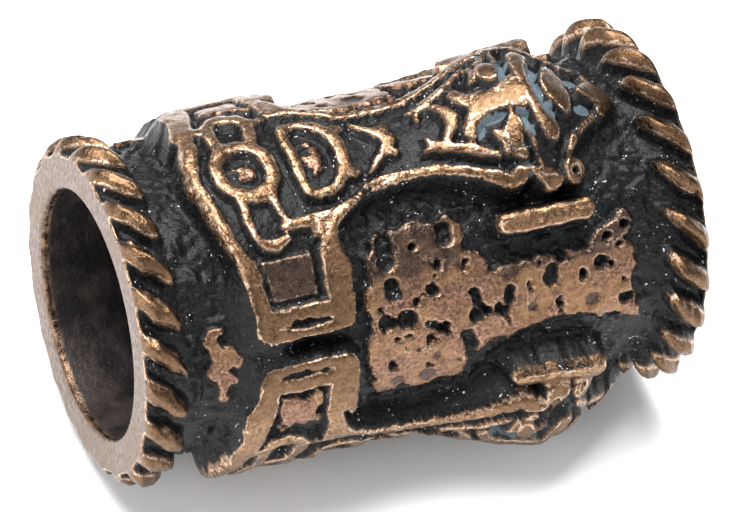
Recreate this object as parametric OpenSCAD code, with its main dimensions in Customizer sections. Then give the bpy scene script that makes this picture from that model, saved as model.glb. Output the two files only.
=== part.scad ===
// Dreadlock bead: one bronze casting, a short open tube with a rope rim at each end
// and a hammer with a domed, beaked grip, repeated round the barrel.
// X runs along the bore, Z is up, and the origin is the middle of the bore.

/* [Bead] */
// Length of the bead from end face to end face
bead_len = 19; // [15:0.1:26]
// Diameter of the bore that the lock of hair runs through
bore_d = 8; // [5:0.1:10]
// Metal between the bore and the dark ground of the relief
wall = 0.8; // [0.6:0.05:1.6]
// Bevel that breaks the edge at each mouth of the bore
mouth_bevel = 0.15; // [0.05:0.05:0.3]

/* [Rope rims] */
// Width of each rope rim along the bead
rim_w = 1.5; // [1:0.05:2]
// Height of the strands of the rim at the near end, above the ground
near_rise = 0.85; // [0.4:0.05:1.2]
// Height of the strands of the rim at the far end, above the ground
far_rise = 1.1; // [0.4:0.05:1.4]
// Number of strands round each rim
strands = 22; // [14:1:24]
// Angle that a strand turns round the bead as it crosses the rim
strand_lean = 14; // [0:1:20]

/* [Hammers] */
// Number of hammers round the barrel
hammers = 3; // [2:1:4]
// Turn of the first hammer from straight up, as the bead lies on its rims
hammer_turn = 2; // [-30:1:60]
// Height of the hammers' bands above the ground
band_rise = 1.05; // [0.5:0.05:1.3]
// How much lower the arms' ends are than their middles
arm_fall = 0.17; // [0:0.01:0.3]
// Extra width of the flank outside the arms' ends, towards the near rim
arm_flank = 0.8; // [0:0.05:1]
// Depth of the channels between the bands
channel_cut = 0.35; // [0.2:0.05:0.7]
// Height of the beaked head's crown above the bands
crown_rise = 1.4; // [0.3:0.05:1.6]
// Height of the two bars beside each head, above the ground
bar_rise = 1.35; // [0.5:0.05:1.4]
// Degrees by which the second hammer sits further round than on an evenly spaced bead
uneven = 2.6; // [0:0.2:4]

/* [Panels] */
// Height of the pitted panels between the hammers, above the ground
panel_rise = 0.32; // [0.1:0.02:0.6]

/* [Colour] */
// Colour of the worn bronze
bronze = "#8f6742"; // ["#8f6742":Bronze, "#b08d57":Brass, "#9c9a94":Pewter]

/* [Hidden] */

bore_r = bore_d / 2;
ground_r = bore_r + wall;
half_len = bead_len / 2;
barrel_half = half_len - rim_w;
turn = 360 / hammers;

// The relief is drawn on a sheet of fixed size, which is then wrapped on the barrel:
// x in mm from the middle of the bead, a in degrees from the middle line of a hammer.
sheet_half = 8;
sheet_turn = 120;
deg_mm = 0.098;
// Half width of the slope at the edge of a raised shape, mm
edge = 0.14;

// Outline of half a hammer with its grip and beaked head: [x, a]
outline = [
    [-6.85, -1], [-6.85, 0], [-6.7, 10], [-6.45, 20], [-6.15, 30], [-5.95, 44], [-5.85, 54], [-5.5, 57.5],
    [-2.9, 57.5], [-2.6, 54], [-2.6, 40], [-2.75, 28], [-2.45, 22], [-1.9, 18.2], [-1.3, 16.2],
    [-0.4, 15.2], [0.4, 15.8], [1.2, 17.4], [2, 20.4], [2.6, 23.8], [3.05, 26.2], [3.45, 26.4], [3.8, 24.4],
    [3.95, 28], [4.3, 30.2], [4.75, 29.2], [5, 27.6], [5.35, 28.4], [5.75, 26], [5.7, 20.5], [5.75, 16.5],
    [6.2, 12.8], [6.75, 9.6], [7.2, 6], [7.5, 3], [7.6, 0], [7.6, -1],
];
// The rim band follows the outline from the hammer's face to the foot of its grip
rim_band = 0.48;
rim_last = 21;

// Bands inside the outline: half width, then points [x, a]
bands = [
    // link from the small oval to the arm
    [0.18, [[-4.3, 21], [-3.4, 21], [-3.4, 30]]],
    // loop behind the ring, straight on the ring's side
    [0.24, [[-3.4, 0], [-3.4, 10.7], [-3.05, 12.8], [-2.6, 12.3], [-2.1, 8.6], [-1.85, 4], [-1.8, 0]]],
    // two chevrons on the grip
    [0.24, [[-1.3, 10.7], [-0.7, 6.5], [0, 0]]],
    [0.24, [[1.4, 6.5], [1.6, 4.4], [1.8, 0]]],
    // crest of the head, and the arm that crosses it
    [0.3, [[2.6, 0], [4.2, 0]]],
    [0.26, [[4.2, 0], [4.3, 6.5], [4.6, 13]]],
    // brow over the eye
    [0.2, [[2.2, 8.6], [2.35, 4.4], [2.8, 2.2], [3.6, 2.2], [4.1, 4.4]]],
    // lower lid and cheek
    [0.2, [[1, 5], [1.5, 8.8], [2.05, 11.5], [2.6, 15], [2.85, 16]]],
    [0.2, [[3.85, 12.8], [3.95, 19.4], [4.3, 25]]],
    // beak and its rim
    [0.4, [[6.3, 0], [7.2, 0]]],
    [0.2, [[6.9, 4.4], [6.3, 9], [5.7, 13], [5.1, 18.5], [5.15, 24]]],
];
B_HALF = 0;
B_PTS = 1;

// Ovals inside the outline, drawn as rings: [x, a, radius along x, radius across in degrees, half width]
rings = [
    [-5, 0, 0.84, 8.6, 0.22],
    [-4.9, 17.4, 0.6, 7.2, 0.2],
];
// Bosses inside the outline: [x, a, radius along x, radius across in degrees]
bosses = [
    [-5, 0, 0.24, 2.4],
    [-2.72, 0, 0.22, 4.6],
    [3.4, 10.2, 0.45, 4.2],
    [5.25, 0, 0.5, 5.6],
    [3.25, 22.8, 0.36, 3],
    [4.25, 26, 0.4, 2.8],
    [5.15, 24, 0.36, 3],
];
// Solid part of each arm, from this angle outwards, and the shallow pocket in it
arm_from = 28;
pocket_from = 30;
pocket_to = 47;
pocket_x = [-5.05, -3.5];
pocket_depth = 0.55;
// The arms come down from this angle over this many degrees, on this side of the grip
fall_from = 22;
fall_span = 28;
arm_side = -2;
// The flank outside the arms' ends is wider past this x
flank_side = -4.6;

// Shape of the head's crown: [x, share of crown_rise] and [x, half span in degrees]
crown_share = [
    [-1, 0], [0, 0.08], [1, 0.25], [2, 0.53], [3, 0.79], [4, 1], [4.6, 1], [5.4, 0.79],
    [6.2, 0.62], [6.6, 0.49], [7, 0.28], [7.5, 0.08],
];
crown_span = [[-1, 22], [1.5, 24], [3.5, 38], [5, 38], [7.5, 14]];
// Height of the bands away from the crown: [x, share of band_rise]
band_share = [[-6.9, 0.86], [-6.4, 0.95], [-5, 0.96], [-3.4, 0.98], [-2.6, 1.02], [2.5, 0.86], [5, 0.8], [7.5, 0.5]];

// Bar beside each head: [x, a] of its ends, half width, and share of its height at each end
bar_from = [2.85, 34.5];
bar_to = [5.45, 34.5];
bar_half = 0.4;
bar_low = 0.84;

// Outline of half a panel, T-shaped: [x, angle from the middle line between two hammers]
panel = [
    [-2.12, -1], [-2.1, 8], [-1.95, 14], [-1.75, 29.5], [-0.6, 31], [0.9, 31], [1.32, 29], [1.36, 18.5],
    [1.8, 17], [2.6, 14], [3.6, 11.8], [5.4, 11.6], [6.2, 14], [7, 14.2], [7.1, 6], [7.1, -1],
];
// Casting pits in the panel: [x, angle from the middle line, radius]
pits = [
    [-1.24, -26, 0.34], [-1.26, -20.5, 0.3], [-1.15, -10.5, 0.3], [0.8, -26, 0.3], [0.15, -7.4, 0.24],
    [2.25, -12.5, 0.22], [-1.5, 0, 0.26], [-0.75, 0, 0.3], [0.4, 4.8, 0.22], [1.55, -2.4, 0.24],
    [1.6, 3.4, 0.28], [2.1, 2.4, 0.2], [2.7, -0.6, 0.26], [2.5, 4, 0.22], [1.3, 11, 0.28],
    [4.15, -4, 0.3], [4.5, -9.6, 0.24], [5.9, -4.2, 0.28], [6.7, 9, 0.3],
];
// Low patch behind each gap between two hammers: [x, radius along x, radius across in degrees, share]
patch = [-6.95, 0.5, 13, 0.9];

// Rows of the grid along the barrel, on the bands' crests and in the channels between them
row_marks = [
    -7.5, -7.15, -6.9, -6.6, -6.22, -5.84, -5.42, -5, -4.58, -4.16, -3.79, -3.4, -3.05, -2.72, -2.35,
    -1.8, -1.3, -0.7, 0, 0.6, 1.1, 1.55, 2.05, 2.6, 3.1, 3.6, 4.1, 4.6, 5.1, 5.7, 6.3, 6.9, 7.5,
];
// Columns of the grid from a hammer's middle line to the middle line between two hammers
col_marks = [
    0, 2.2, 4.4, 6.5, 8.6, 10.7, 12.8, 15, 17.2, 19.4, 21.6, 23.8, 26, 28.4, 31, 34.5, 38,
    41.5, 46, 50.5, 54.5, 57.8, 60,
];
// Rows of the grid across a rope rim, from the barrel to the end face
rim_steps = [0, 0.1, 0.3, 0.55, 0.82, 1];
// The grid keeps about the same number of columns for any number of hammers
half_cols = round((len(col_marks) - 1) * 3 / hammers);
cols = 2 * hammers * half_cols;

// Rope strands: angle from a hammer's middle line to the nearest strand, at the rim's middle
near_phase = 6.7;
far_phase = -0.5;
pitch = 360 / strands;
// Height of the metal between two strands, and of a strand at the end face, as shares
valley_share = 0.35;
face_share = 0.1;

function clamp(t) = min(1, max(0, t));
function smooth(t) = let (c = clamp(t)) c * c * (3 - 2 * c);
function on_sheet(p) = [p[0], p[1] * deg_mm];
function path_on_sheet(path) = [for (p = path) on_sheet(p)];
function seg_dist(p, a, b) =
    let (ab = b - a, t = clamp((p - a) * ab / (ab * ab)))
    norm(p - a - t * ab);
function path_dist(p, path) = min([for (i = [1 : len(path) - 1]) seg_dist(p, path[i - 1], path[i])]);
function crosses(p, a, b) =
    (a[1] > p[1]) != (b[1] > p[1]) && p[0] < (b[0] - a[0]) * (p[1] - a[1]) / (b[1] - a[1]) + a[0];
function inside(p, path) =
    let (n = len(path))
    len([for (i = [0 : n - 1]) if (crosses(p, path[i], path[(i + 1) % n])) 1]) % 2 == 1;
// 1 on a shape, 0 off it, with a soft edge; d is the distance outside it
function on_shape(d) = smooth(0.5 - d / (2 * edge));
function oval(p, x, a, rx, ra) = norm([(p[0] - x) / rx, (p[1] - a * deg_mm) / (ra * deg_mm)]);
function oval_dist(p, x, a, rx, ra) = (oval(p, x, a, rx, ra) - 1) * sqrt(rx * ra * deg_mm);

outline_mm = path_on_sheet(outline);
edge_mm = [for (i = [1 : len(outline_mm) - 2]) outline_mm[i]];
rim_mm = [for (i = [1 : rim_last]) outline_mm[i]];
panel_mm = path_on_sheet(panel);
bands_mm = [for (b = bands) path_on_sheet(b[B_PTS])];

// Height of the bands' tops above the ground
function top_rise(x, a) =
    band_rise * lookup(x, band_share)
    - arm_fall * smooth((a - fall_from) / fall_span) * clamp((arm_side - x) / 0.4)
    + crown_rise * lookup(x, crown_share) * cos(90 * clamp(a / lookup(x, crown_span)));
// Share from channel floor to band top inside the outline
function band_mark(p) = max([
    on_shape(path_dist(p, rim_mm) - rim_band),
    for (i = [0 : len(bands) - 1]) on_shape(path_dist(p, bands_mm[i]) - bands[i][B_HALF]),
    for (r = rings) on_shape(abs(oval_dist(p, r[0], r[1], r[2], r[3])) - r[4]),
    for (b = bosses) on_shape(oval_dist(p, b[0], b[1], b[2], b[3])),
]);
function pocket_mark(x, a) =
    on_shape(max(pocket_x[0] - x, x - pocket_x[1], (pocket_from - a) * deg_mm, (a - pocket_to) * deg_mm));
function arm_mark(x, a) =
    x < 0 ? smooth((a - arm_from) * deg_mm / edge) * (1 - pocket_depth * pocket_mark(x, a)) : 0;
// Half width of the flank round a hammer, wider outside the arms' ends
function flank(x, a) = edge + arm_flank / 2 * smooth((a - fall_from) / fall_span) * smooth((flank_side - x) / 0.6);
function hammer_rise(x, a) =
    let (p = [x, a * deg_mm], d = path_dist(p, edge_mm), half = flank(x, a))
    let (out = inside(p, outline_mm) ? -d : d)
    out > 2 * half - edge ? 0 :
    let (cover = smooth(0.5 - (out + edge - half) / (2 * half)), mark = max(band_mark(p), arm_mark(x, a)))
    cover * (top_rise(x, a) - channel_cut * (1 - mark));
function bar_mark(x, a) =
    on_shape(seg_dist([x, a * deg_mm], on_sheet(bar_from), on_sheet(bar_to)) - bar_half);
function bar_height(x, a) =
    bar_mark(x, a) * bar_rise * (bar_low + (1 - bar_low) * clamp((x - bar_from[0]) / (bar_to[0] - bar_from[0])));
function pit_mark(x, g) =
    max([for (p = pits) on_shape(norm([x - p[0], (g - p[1]) * deg_mm]) - p[2])]);
function panel_height(x, g) =
    let (p = [x, abs(g) * deg_mm], d = path_dist(p, panel_mm))
    panel_rise * on_shape(inside(p, panel_mm) ? -d : d) * (1 - pit_mark(x, g));
function patch_height(x, g) =
    panel_rise * patch[3] * on_shape(oval_dist([x, abs(g) * deg_mm], patch[0], 0, patch[1], patch[2]));

// Radius of the barrel at x on the sheet and at an angle from the first hammer
function barrel_r(x, angle) =
    let (n = round(angle / turn), off = (angle - n * turn) * sheet_turn / turn)
    let (g = off > 0 ? off - sheet_turn / 2 : off + sheet_turn / 2)
    ground_r + max(hammer_rise(x, abs(off)), bar_height(x, abs(off)), panel_height(x, g), patch_height(x, g));

// Radius of a rope rim: u runs from 0 at the barrel to 1 at the end face
function strand_r(u, phase_angle, rise) =
    let (s = abs(phase_angle / pitch - round(phase_angle / pitch)) * 2)
    let (hump = sqrt(max(0, 1 - pow(abs(2 * u - 1.06), 3))))
    let (width = 0.88 - 0.45 * pow(1 - u, 2))
    let (round_over = u > 0.99 ? face_share / hump : 1)
    ground_r + rise * hump * round_over * (valley_share + (1 - valley_share) * (1 - pow(clamp(s / width), 2.2)));

// Rows of points: [x, kind, place in the rim or on the sheet]
BARREL = 0;
NEAR = 1;
FAR = 2;
rows = concat(
    [for (i = [len(rim_steps) - 1 : -1 : 0]) [-barrel_half - rim_w * rim_steps[i], NEAR, rim_steps[i]]],
    [for (x = row_marks) [x * barrel_half / sheet_half, BARREL, x]],
    [for (u = rim_steps) [barrel_half + rim_w * u, FAR, u]]
);
// Angle of column j from the first hammer on the barrel, and round a rim along its strands
mark_table = [for (i = [0 : len(col_marks) - 1]) [i * half_cols / (len(col_marks) - 1), col_marks[i]]];
function barrel_angle(j) =
    let (n = round(j / (2 * half_cols)), k = j - 2 * half_cols * n)
    turn * n + sign(k) * lookup(abs(k), mark_table) * turn / sheet_turn;
// Each hammer's arms reach this far round from its middle line, and turn with it where it is shifted
arm_reach = 57.5 * turn / sheet_turn;
function shift(n) = let (k = (n + hammers) % hammers) k == 0 ? 0 : uneven * (hammers - k) / (hammers - 1);
shifts = [for (n = [0 : hammers]) for (side = [-1, 1]) [n * turn + side * arm_reach, shift(n)]];
function placed(angle, x) = angle + lookup(angle, shifts) * clamp((sheet_half - abs(x)) / 0.7);
function column_angle(row, j) =
    hammer_turn + (
        row[1] == NEAR ? j * 360 / cols + near_phase + strand_lean * (0.5 - row[2]) :
        row[1] == FAR ? j * 360 / cols + far_phase + strand_lean * (row[2] - 0.5) :
        placed(barrel_angle(j), row[2])
    );
function radius(row, j) =
    row[1] == NEAR ? strand_r(row[2], j * 360 / cols, near_rise) :
    row[1] == FAR ? strand_r(row[2], j * 360 / cols, far_rise) :
    barrel_r(row[2], barrel_angle(j));
function ring_point(x, r, angle) = [x, -r * sin(angle), r * cos(angle)];

module casting() {
    radii = [for (row = rows) [for (j = [0 : cols - 1]) radius(row, j)]];
    skin = [for (i = [0 : len(rows) - 1]) for (j = [0 : cols - 1])
        ring_point(rows[i][0], radii[i][j], column_angle(rows[i], j))];
    near_middle = len(skin);
    far_middle = near_middle + 1;
    last = len(rows) - 1;
    sides = [for (i = [0 : last - 1]) for (j = [0 : cols - 1])
        let (k = (j + 1) % cols, a = i * cols + j, b = i * cols + k, c = a + cols, d = b + cols)
        for (f = abs(radii[i][j] - radii[i + 1][k]) < abs(radii[i][k] - radii[i + 1][j])
            ? [[a, d, b], [a, c, d]] : [[a, c, b], [b, c, d]]) f];
    near_face = [for (j = [0 : cols - 1]) [near_middle, j, (j + 1) % cols]];
    far_face = [for (j = [0 : cols - 1]) [far_middle, last * cols + (j + 1) % cols, last * cols + j]];
    polyhedron(
        points = concat(skin, [[-half_len, 0, 0], [half_len, 0, 0]]),
        faces = concat(sides, near_face, far_face),
        convexity = 10
    );
}

// Bore with a small bevel at each mouth, as one turned shape
module bore() {
    spare = 1;
    rotate([0, 90, 0])
        rotate_extrude($fn = 96)
            polygon([
                [0, -half_len - spare],
                [bore_r + mouth_bevel + spare, -half_len - spare],
                [bore_r, -half_len + mouth_bevel],
                [bore_r, half_len - mouth_bevel],
                [bore_r + mouth_bevel + spare, half_len + spare],
                [0, half_len + spare]
            ]);
}

module bead() {
    color(bronze)
        difference() {
            casting();
            bore();
        }
}

bead();
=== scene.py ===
import math
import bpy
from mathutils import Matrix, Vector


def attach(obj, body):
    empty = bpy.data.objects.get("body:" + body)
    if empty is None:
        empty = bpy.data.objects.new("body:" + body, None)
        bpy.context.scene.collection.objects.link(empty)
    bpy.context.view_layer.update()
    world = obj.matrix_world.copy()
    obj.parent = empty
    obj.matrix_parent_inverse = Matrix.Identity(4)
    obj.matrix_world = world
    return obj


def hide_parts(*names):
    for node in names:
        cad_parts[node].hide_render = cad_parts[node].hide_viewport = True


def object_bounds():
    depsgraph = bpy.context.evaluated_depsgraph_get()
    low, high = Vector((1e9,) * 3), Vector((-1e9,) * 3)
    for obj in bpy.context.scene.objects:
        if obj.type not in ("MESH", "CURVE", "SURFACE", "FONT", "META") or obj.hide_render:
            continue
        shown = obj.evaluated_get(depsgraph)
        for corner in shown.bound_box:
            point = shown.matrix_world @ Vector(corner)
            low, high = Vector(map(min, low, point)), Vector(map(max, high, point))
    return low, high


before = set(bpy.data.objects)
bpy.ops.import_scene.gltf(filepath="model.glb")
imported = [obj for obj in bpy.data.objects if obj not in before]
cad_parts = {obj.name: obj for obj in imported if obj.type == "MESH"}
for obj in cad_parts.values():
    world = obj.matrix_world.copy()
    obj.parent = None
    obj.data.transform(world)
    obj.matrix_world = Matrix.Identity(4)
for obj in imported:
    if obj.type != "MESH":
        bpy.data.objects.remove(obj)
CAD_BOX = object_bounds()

from types import SimpleNamespace

import bpy
import numpy as np
from mathutils import Matrix, Vector

# A cast bronze dreadlock bead, modelled as one closed skin: the barrel with its relief, the two rope rims,
# the end faces and the bore. The bore lies along x, with the near end of the photograph at -x.
# Capital letters are whole grids of values, one for each grid point:
#   X  mm along the bead
#   A  degrees from the nearest hammer's middle line, and S the same in mm on the barrel's sheet
#   G  degrees from the middle line between two hammers
#   P  place in space, which the roughness is looked up at
# Each shape is a distance in mm: below 0 inside it, above 0 outside it.

MM = 0.001

# Grid of the skin: columns round the bead, rows along the barrel and across each rim
COLS = 396
BARREL_ROWS = 191
RIM_ROWS = 19

# Bead, mm: half its length as in the CAD, rims, bore with its rounded mouth, and the ground of the relief
HALF = round(CAD_BOX[1][0] / MM, 2)
RIM_W = 1.5
BARREL = HALF - RIM_W
BORE_R = 4.0
BEVEL = 0.15
GROUND_R = 4.8
# Radius at which the roughness is laid out round the barrel
SKIN_R = 5.5
# Length on the barrel's sheet that one degree round it stands for, mm
DEG_MM = 0.098

# Turn of the first hammer on the floor, degrees
HAMMER_TURN = 2.0
# Degrees from one hammer to the next, and by which each sits further round than on an even bead
HAMMER_STEP = 120
SHIFT = (0.0, 2.6, 1.3)
# Where a hammer's arms end, degrees from its middle line
ARM_END = 57.4

# Rope rims: degrees from strand to strand, and by which a strand leans from the barrel to the end face
STRANDS = 22
PITCH = 360.0 / STRANDS
LEAN = 14.0
# Height of the strands, angle of one strand from the first hammer's middle line, end of the bead
NEAR = (0.85, 6.7, -1)
FAR = (1.1, -0.5, 1)
ROPE_TONE = -0.8

# Width of the wall at a shape's border, one cell of the grid, and of the flanks of the hammers and bars
WALL = 0.09
SLOPE = 0.28
# A distance outside everything, for a shape that isn't on this side
AWAY = 9.0

# Parts of the skin that the material tells apart
ZONE_OUTSIDE = 0
ZONE_FACE = 1
ZONE_MOUTH = 1.5
ZONE_BORE = 3


def clamp(t):
    return np.clip(t, 0.0, 1.0)


def smooth(t):
    """0 to 1 with soft ends while t goes from 0 to 1"""
    t = clamp(t)
    return t * t * (3 - 2 * t)


def rise(d, width):
    """1 inside a shape, 0 outside it, with a slope this wide"""
    return smooth(0.5 - d / width)


def lattice(ix, iy, iz, seed):
    """A number from 0 to 1 for each point of a whole-number grid, mixed from its place and the seed"""
    h = (ix * 374761393 + iy * 668265263 + iz * 2147483647 + seed * 974634777) & 0xFFFFFFFF
    h = ((h ^ (h >> 13)) * 1274126177) & 0xFFFFFFFF
    h = h ^ (h >> 16)
    return (h & 0xFFFF) / 65535.0


def noise(P, size, seed):
    """Soft lumps from -1 to 1, about this size in mm"""
    q = P / size
    cell = np.floor(q).astype(np.int64)
    f = q - cell
    f = f * f * f * (f * (f * 6 - 15) + 10)
    out = 0.0
    for corner in np.ndindex(2, 2, 2):
        share = 1.0
        for axis, step in enumerate(corner):
            share = share * (f[..., axis] if step else 1 - f[..., axis])
        out = out + share * lattice(*(cell[..., axis] + step for axis, step in enumerate(corner)), seed)
    return out * 2 - 1


def lumps(P, layers):
    """Soft lumps in layers; each layer is its height, its size in mm and a seed"""
    return sum(height * noise(P, size, seed) for height, size, seed in layers)


def to_mm(path):
    """Points (x, a) with a in degrees, as mm on the sheet"""
    return [(x, a * DEG_MM) for x, a in path]


def seg_dist(X, S, a, b, half_a=0.0, half_b=0.0):
    """Distance to a straight band between two points, with its half width at each end taken off"""
    dx, dy = b[0] - a[0], b[1] - a[1]
    t = clamp(((X - a[0]) * dx + (S - a[1]) * dy) / (dx * dx + dy * dy + 1e-12))
    return np.hypot(X - a[0] - t * dx, S - a[1] - t * dy) - (half_a + (half_b - half_a) * t)


def path_dist(X, S, path):
    """Distance to a line through points in mm"""
    return np.minimum.reduce([seg_dist(X, S, a, b) for a, b in zip(path[:-1], path[1:])])


def band_dist(X, S, points):
    """Distance outside a band; its points are (x, a in degrees, half width)"""
    ends = [((x, a * DEG_MM), half) for x, a, half in points]
    return np.minimum.reduce([seg_dist(X, S, p, q, p_half, q_half)
                              for (p, p_half), (q, q_half) in zip(ends[:-1], ends[1:])])


def inside(X, S, path):
    """True inside a closed path, by counting how often a line from each point crosses it"""
    odd = np.zeros(X.shape, bool)
    for (ax, ay), (bx, by) in zip(path, path[1:] + path[:1]):
        if ay != by:
            odd ^= ((ay > S) != (by > S)) & (X < (bx - ax) * (S - ay) / (by - ay) + ax)
    return odd


def outline_dist(X, S, half):
    """Distance outside a shape that is the same on both sides of the line S = 0"""
    path = to_mm(half)
    closed = [(path[0][0], -0.2)] + path + [(path[-1][0], -0.2)]
    d = path_dist(X, S, path)
    return np.where(inside(X, S, closed), -d, d)


def oval_dist(X, S, x, a, rx, ra):
    """Distance outside an oval; a and its radius across, ra, are in degrees"""
    k = np.hypot((X - x) / rx, (S - a * DEG_MM) / (ra * DEG_MM))
    return (k - 1) * np.sqrt(rx * ra * DEG_MM)


def spots_dist(X, G, spots):
    """Distance outside round spots; they are (x, angle in degrees, radius)"""
    return np.minimum.reduce([np.hypot(X - x, (G - a) * DEG_MM) - r for x, a, r in spots])


# Roughness in layers: [height, size, seed], in mm unless said otherwise
BORDER_LUMPS = [(0.045, 0.55, 3), (0.04, 0.22, 4), (0.015, 0.13, 7)]
WEAR_LUMPS = [(0.022, 0.33, 5), (0.016, 0.16, 6)]
BOSS_LUMPS = [(0.22, 0.19, 9), (0.14, 0.11, 10)]
FOOT_LUMPS = [(0.04, 0.5, 15)]
BAR_LUMPS = [(0.03, 0.3, 8)]
RIDGE_LUMPS = [(0.05, 0.15, 16)]
PANEL_BORDER_LUMPS = [(0.08, 0.75, 12), (0.16, 0.34, 13), (0.09, 0.18, 14)]
PIT_LUMPS = [(0.05, 0.18, 21)]
PORE_LUMPS = [(0.372, 0.42, 31), (0.248, 0.21, 32)]
FLAT_LUMPS = [(0.03, 0.4, 33), (0.012, 0.2, 34)]
PATCH_BORDER_LUMPS = [(0.06, 0.5, 41), (0.08, 0.2, 42)]
GROUND_LUMPS = [(0.05, 0.5, 50), (0.05, 0.27, 51), (0.03, 0.17, 52)]
# of the strands' tops, and of their sides and width as shares of half a pitch
STRAND_LUMPS = [(0.03, 0.3, 62), (0.024, 0.16, 66)]
STRAND_SIDE_LUMPS = [(0.11, 0.6, 61), (0.11, 0.28, 63), (0.06, 0.14, 67)]
STRAND_WIDTH_LUMPS = [(0.09, 1.1, 64)]
# of the strands' height, as a share of it, and of the flat shapes' tone
LOBE_LUMPS = [(0.12, 0.8, 65)]
TONE_LUMPS = [(0.4, 0.5, 35)]

# Half outline of a hammer with its grip and beaked head: [x, a]
OUTLINE = [
    (-6.85, 0), (-6.72, 8), (-6.5, 17), (-6.3, 25), (-6.1, 30), (-5.97, 42), (-5.88, 52), (-5.78, 56),
    (-5.5, 57.4), (-3.0, 57.4), (-2.72, 56.2), (-2.6, 52), (-2.6, 36), (-2.85, 28.5), (-2.75, 25),
    (-2.4, 21.8), (-1.9, 19.0), (-1.3, 16.9), (-0.6, 15.4), (0.1, 15.0), (0.8, 15.6), (1.4, 17.2),
    (2.0, 19.6), (2.6, 22.9), (3.0, 25.0), (3.3, 25.4), (3.58, 24.0), (3.66, 21.8), (3.8, 24.0),
    (3.85, 26.8), (4.15, 29.0), (4.5, 29.0), (4.72, 27.0), (4.85, 26.2), (5.0, 27.4), (5.3, 27.6),
    (5.58, 25.8), (5.68, 23.0), (5.55, 20.0), (5.35, 17.8), (5.62, 15.0), (6.0, 12.4), (6.5, 9.6),
    (6.9, 7.2), (7.2, 4.8), (7.45, 2.2), (7.52, 0),
]
# The rim band follows the outline's first points, from the face to the knob beside the head; the grip starts
# at GRIP_FIRST
RIM_LAST = 27
GRIP_FIRST = 14
RIM_X = [-6.9, -6.4, -5.9, -5.3, -3, -2.6, -2.2, -1.6, 0, 2.5, 3.1]
RIM_HALF = [.4, .4, .42, .5, .46, .3, .14, .14, .32, .32, .4]
# The rim is this much wider on the closed side
CLOSED_RIM = 0.07
# Bands inside the outline: share of the height, then [x, a, half width]
BANDS = [
    # upper ridge of the rim, from the arm along the grip
    (1.0, [(-4.2, 20.6, .1), (-3.5, 20.4, .12), (-2.9, 20.3, .12), (-2.4, 19.2, .12), (-1.9, 17.2, .12),
           (-1.6, 15.2, .12), (-1.3, 13.6, .12), (-0.8, 12.7, .13), (0.0, 12.6, .1)]),
    # inner corner of the arm
    (1.0, [(-3.25, 22, .16), (-3.28, 26, .16), (-3.2, 31, .2)]),
    # loop behind the ring, with a lump at its lower corner
    (1.0, [(-3.37, 0, .2), (-3.37, 10.4, .2), (-3.3, 12.4, .22), (-3.0, 13.6, .2), (-2.6, 13.4, .19),
           (-2.3, 11.6, .2), (-2.05, 9.0, .22), (-1.85, 5.4, .26), (-1.82, 2.0, .25), (-1.82, 0, .25)]),
    (0.95, [(-1.95, 7.0, .22), (-1.7, 8.8, .2), (-1.5, 9.0, .12)]),
    # first chevron, blunt and jagged at its tip
    (1.0, [(-1.15, 10.2, .08), (-0.95, 8.0, .13), (-0.65, 5.2, .18), (-0.35, 2.4, .24), (-0.2, 0, .28)]),
    (0.95, [(-0.35, 4.4, .2), (-0.15, 4.8, .16)]),
    # second chevron, running into the lower lid
    (1.0, [(1.8, 0, .24), (1.74, 2.4, .22), (1.58, 4.6, .17), (1.42, 6.8, .12)]),
    (1.0, [(0.86, 3.6, .08), (0.95, 6.2, .16), (1.2, 7.8, .2), (1.6, 9.6, .17), (2.0, 11.3, .16),
           (2.4, 13.4, .15), (2.8, 15.7, .12)]),
    (0.9, [(0.66, 7.6, .09), (1.0, 7.4, .14)]),
    # crest of the head with its fork, and the wide brow that grows out of it
    (1.0, [(2.1, 6.6, .14), (2.28, 3.2, .16), (2.6, 0, .22), (3.4, 0, .24), (4.2, 0, .3)]),
    (1.0, [(2.6, 0.9, .2), (3.3, 1.3, .2), (4.1, 2.2, .22)]),
    (0.96, [(2.2, 8.8, .12), (2.24, 6.4, .17), (2.36, 4.3, .16), (2.7, 2.9, .14), (3.2, 2.6, .14),
            (3.7, 3.3, .14), (4.0, 4.4, .14)]),
    # arm across the head, with a knob at its end
    (1.0, [(4.24, 0, .24), (4.26, 3.0, .22), (4.3, 6.4, .22), (4.42, 9.6, .26), (4.6, 12.6, .34)]),
    # eyeball with a rough corner, and the small lid under it
    (0.9, [(3.5, 8.0, .26), (3.42, 10.4, .36), (3.4, 12.2, .3)]),
    (0.85, [(2.82, 8.5, .1), (3.0, 10.2, .16), (3.12, 12.8, .16), (3.08, 15.2, .12)]),
    (0.8, [(3.34, 16.2, .12), (3.56, 17.2, .2)]),
    # cheek line down to its knob
    (0.95, [(3.84, 12.2, .07), (3.93, 15.8, .07), (3.97, 19.4, .08), (4.1, 22.0, .1), (4.4, 23.6, .1)]),
    (0.95, [(3.8, 21.2, .07), (3.95, 24.0, .16), (4.22, 26.2, .3), (4.4, 26.0, .28)]),
    # forehead block
    (0.97, [(5.2, 0, .44), (5.3, 2.2, .44), (5.36, 5.4, .3), (5.28, 7.2, .14)]),
    # beak, and the rim that runs back from it in pieces
    (1.0, [(6.28, 0, .2), (6.7, 0, .42), (7.15, 0, .36)]),
    (1.0, [(7.2, 2.2, .2), (6.95, 4.2, .2), (6.72, 6.6, .2)]),
    (0.95, [(6.35, 8.8, .14), (6.0, 11.0, .15), (5.68, 13.2, .15)]),
    (0.95, [(5.38, 15.0, .17), (5.2, 17.2, .14), (5.0, 19.6, .12)]),
]
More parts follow.
